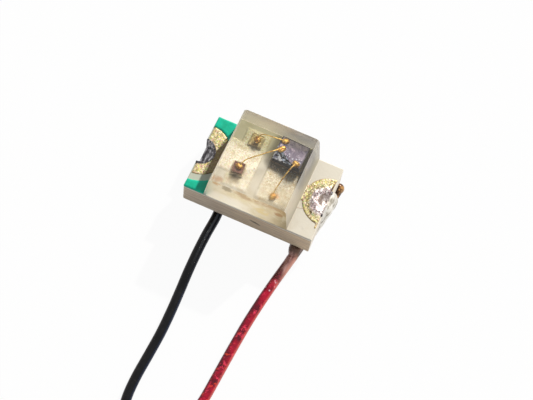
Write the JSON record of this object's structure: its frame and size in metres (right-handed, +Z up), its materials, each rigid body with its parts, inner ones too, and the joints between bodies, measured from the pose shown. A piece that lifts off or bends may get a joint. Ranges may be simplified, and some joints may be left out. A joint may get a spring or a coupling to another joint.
{
  "type": "pre-wired smd led",
  "caption": "Chip light-emitting diode on a small laminate board with a clear moulded lens, soldered to fine black and red enamelled leads that are coiled and end in bare tips.",
  "frame": {"origin": "under the middle of the board, on the surface that the leads and solder rest on", "axes": "+X along the board from the end with the green mask to the bare end, +Y to the back, away from the leads, +Z up through the lens"},
  "size_m": [0.0056, 0.0077, 0.0012],
  "materials": {
    "laminate": "cream laminate with sawn taupe sides",
    "gold_plate": "grainy gold plating over copper",
    "green_mask": "glossy printed green mask",
    "dark_die": "dark polished die",
    "clear_die": "clear die over gold",
    "silver_glue": "grey metal-filled glue",
    "silicon": "dark violet-grey silicon",
    "gold_wire": "bright gold",
    "clear_resin": "clear moulded resin with sawn sides",
    "solder": "lumpy bright solder",
    "black_enamel": "glossy black enamel over copper",
    "red_enamel": "clear crimson enamel over copper",
    "wound_leads": "wound black and red enamelled wire",
    "film_tie": "amber film",
    "tinned_wire": "tinned copper"
  },
  "bodies": {
    "root": {"substrate": "laminate", "left_terminal": "gold_plate", "right_terminal": "gold_plate", "green_mask": "green_mask", "front_die": "dark_die", "front_die_glue": "silver_glue", "back_die": "clear_die", "back_die_glue": "silver_glue", "driver_chip": "silicon", "driver_chip_glue": "silver_glue", "front_bond_wire": "gold_wire", "back_bond_wire": "gold_wire", "ground_bond_wire": "gold_wire", "lens": "clear_resin", "left_solder": "solder", "right_solder": "solder", "black_lead": "black_enamel", "red_lead": "red_enamel", "lead_coil": "wound_leads", "coil_tie": "film_tie", "black_lead_tail": "black_enamel", "red_lead_tail": "red_enamel", "black_lead_tip": "tinned_wire", "red_lead_tip": "tinned_wire"}
  },
  "joints": []
}
